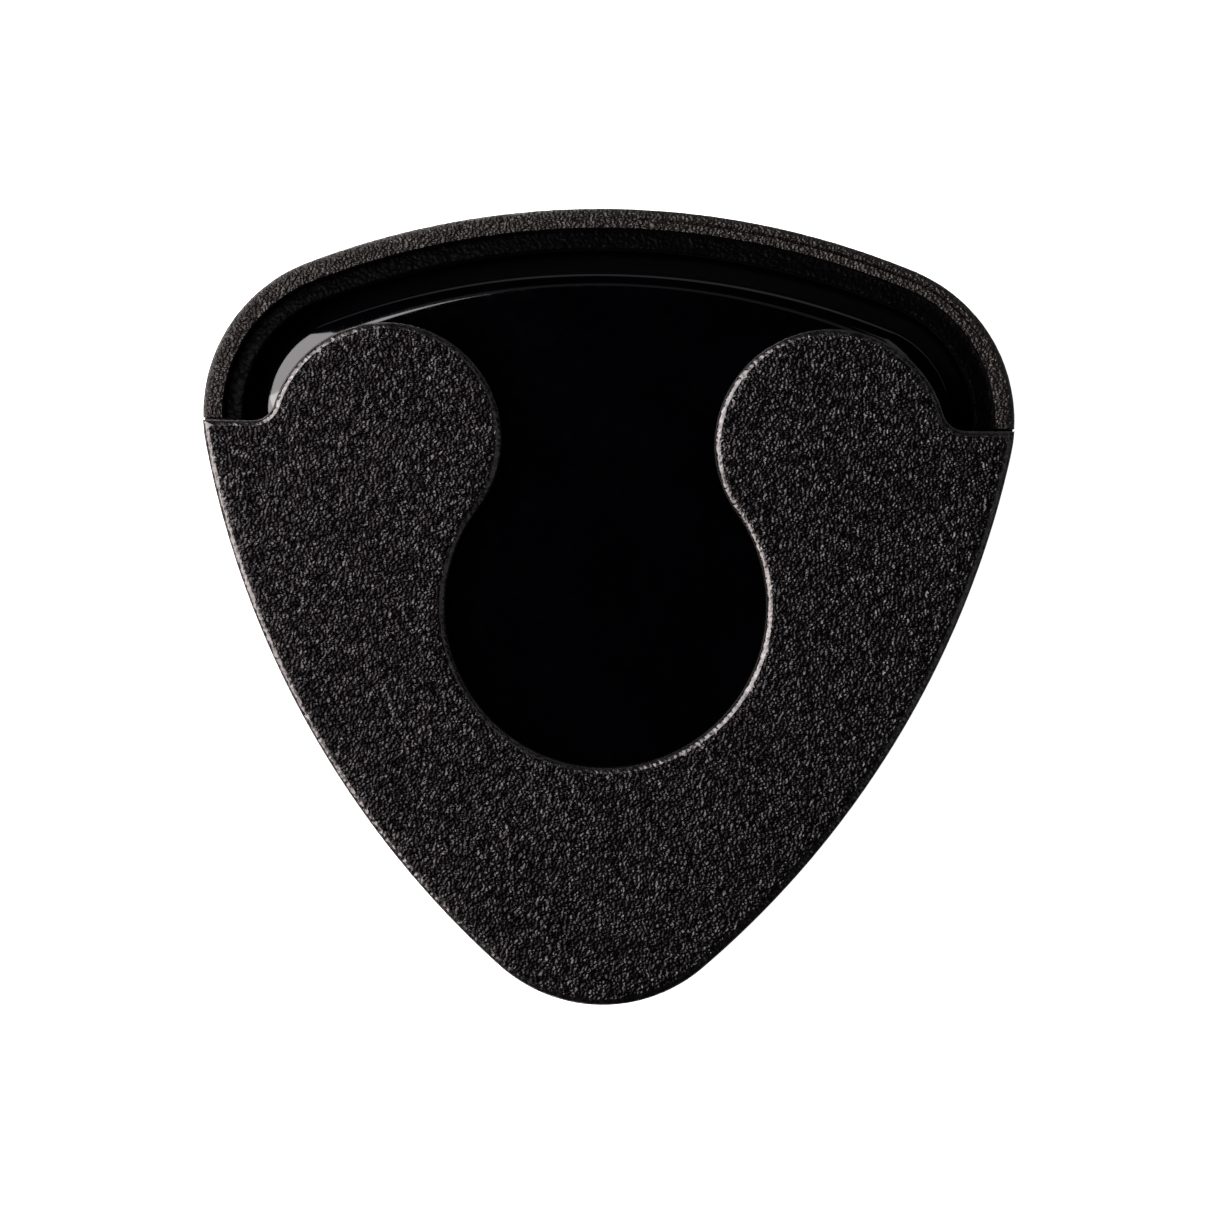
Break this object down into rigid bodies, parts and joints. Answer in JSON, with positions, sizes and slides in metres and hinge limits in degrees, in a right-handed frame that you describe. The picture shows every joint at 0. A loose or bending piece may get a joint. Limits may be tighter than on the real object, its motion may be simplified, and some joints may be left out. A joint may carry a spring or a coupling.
{
  "type": "guitar pick holder",
  "caption": "Rounded-triangle stick-on case that holds a stack of guitar picks behind two round tabs, on a spring-loaded plate reached through a thumb cut-out.",
  "frame": {"origin": "centre of the bounding box at the face stuck to the instrument", "axes": "+Z out of the front, +Y towards the open top edge where picks go in, +X to the right seen from the front"},
  "size_m": [0.042, 0.0412, 0.0082],
  "materials": {
    "shell_plastic": "fine spark-eroded texture outside, polished inside",
    "cover_plastic": "fine spark-eroded texture",
    "plate_plastic": "polished",
    "spring_steel": "rolled strip",
    "foam_tape": "closed-cell foam",
    "liner_paper": "silicone-coated paper"
  },
  "bodies": {
    "case": {"rear_shell": "shell_plastic", "front_cover": "cover_plastic", "adhesive_pad": "foam_tape", "leaf_spring": "spring_steel"},
    "plate": {"pressure_plate": "plate_plastic"},
    "liner": {"release_liner": "liner_paper"}
  },
  "joints": [
    {"name": "plate_press", "type": "slide", "parent": "case", "child": "plate", "axis": [0, 0, -1], "range_m": [0, 0.003], "stiffness_N_per_m": 1000, "springref_m": -0.001, "deforming": ["leaf_spring"]},
    {"name": "liner_peel", "type": "slide", "parent": "case", "child": "liner", "axis": [0, -1, 0], "range_m": [0, 0.045]}
  ]
}
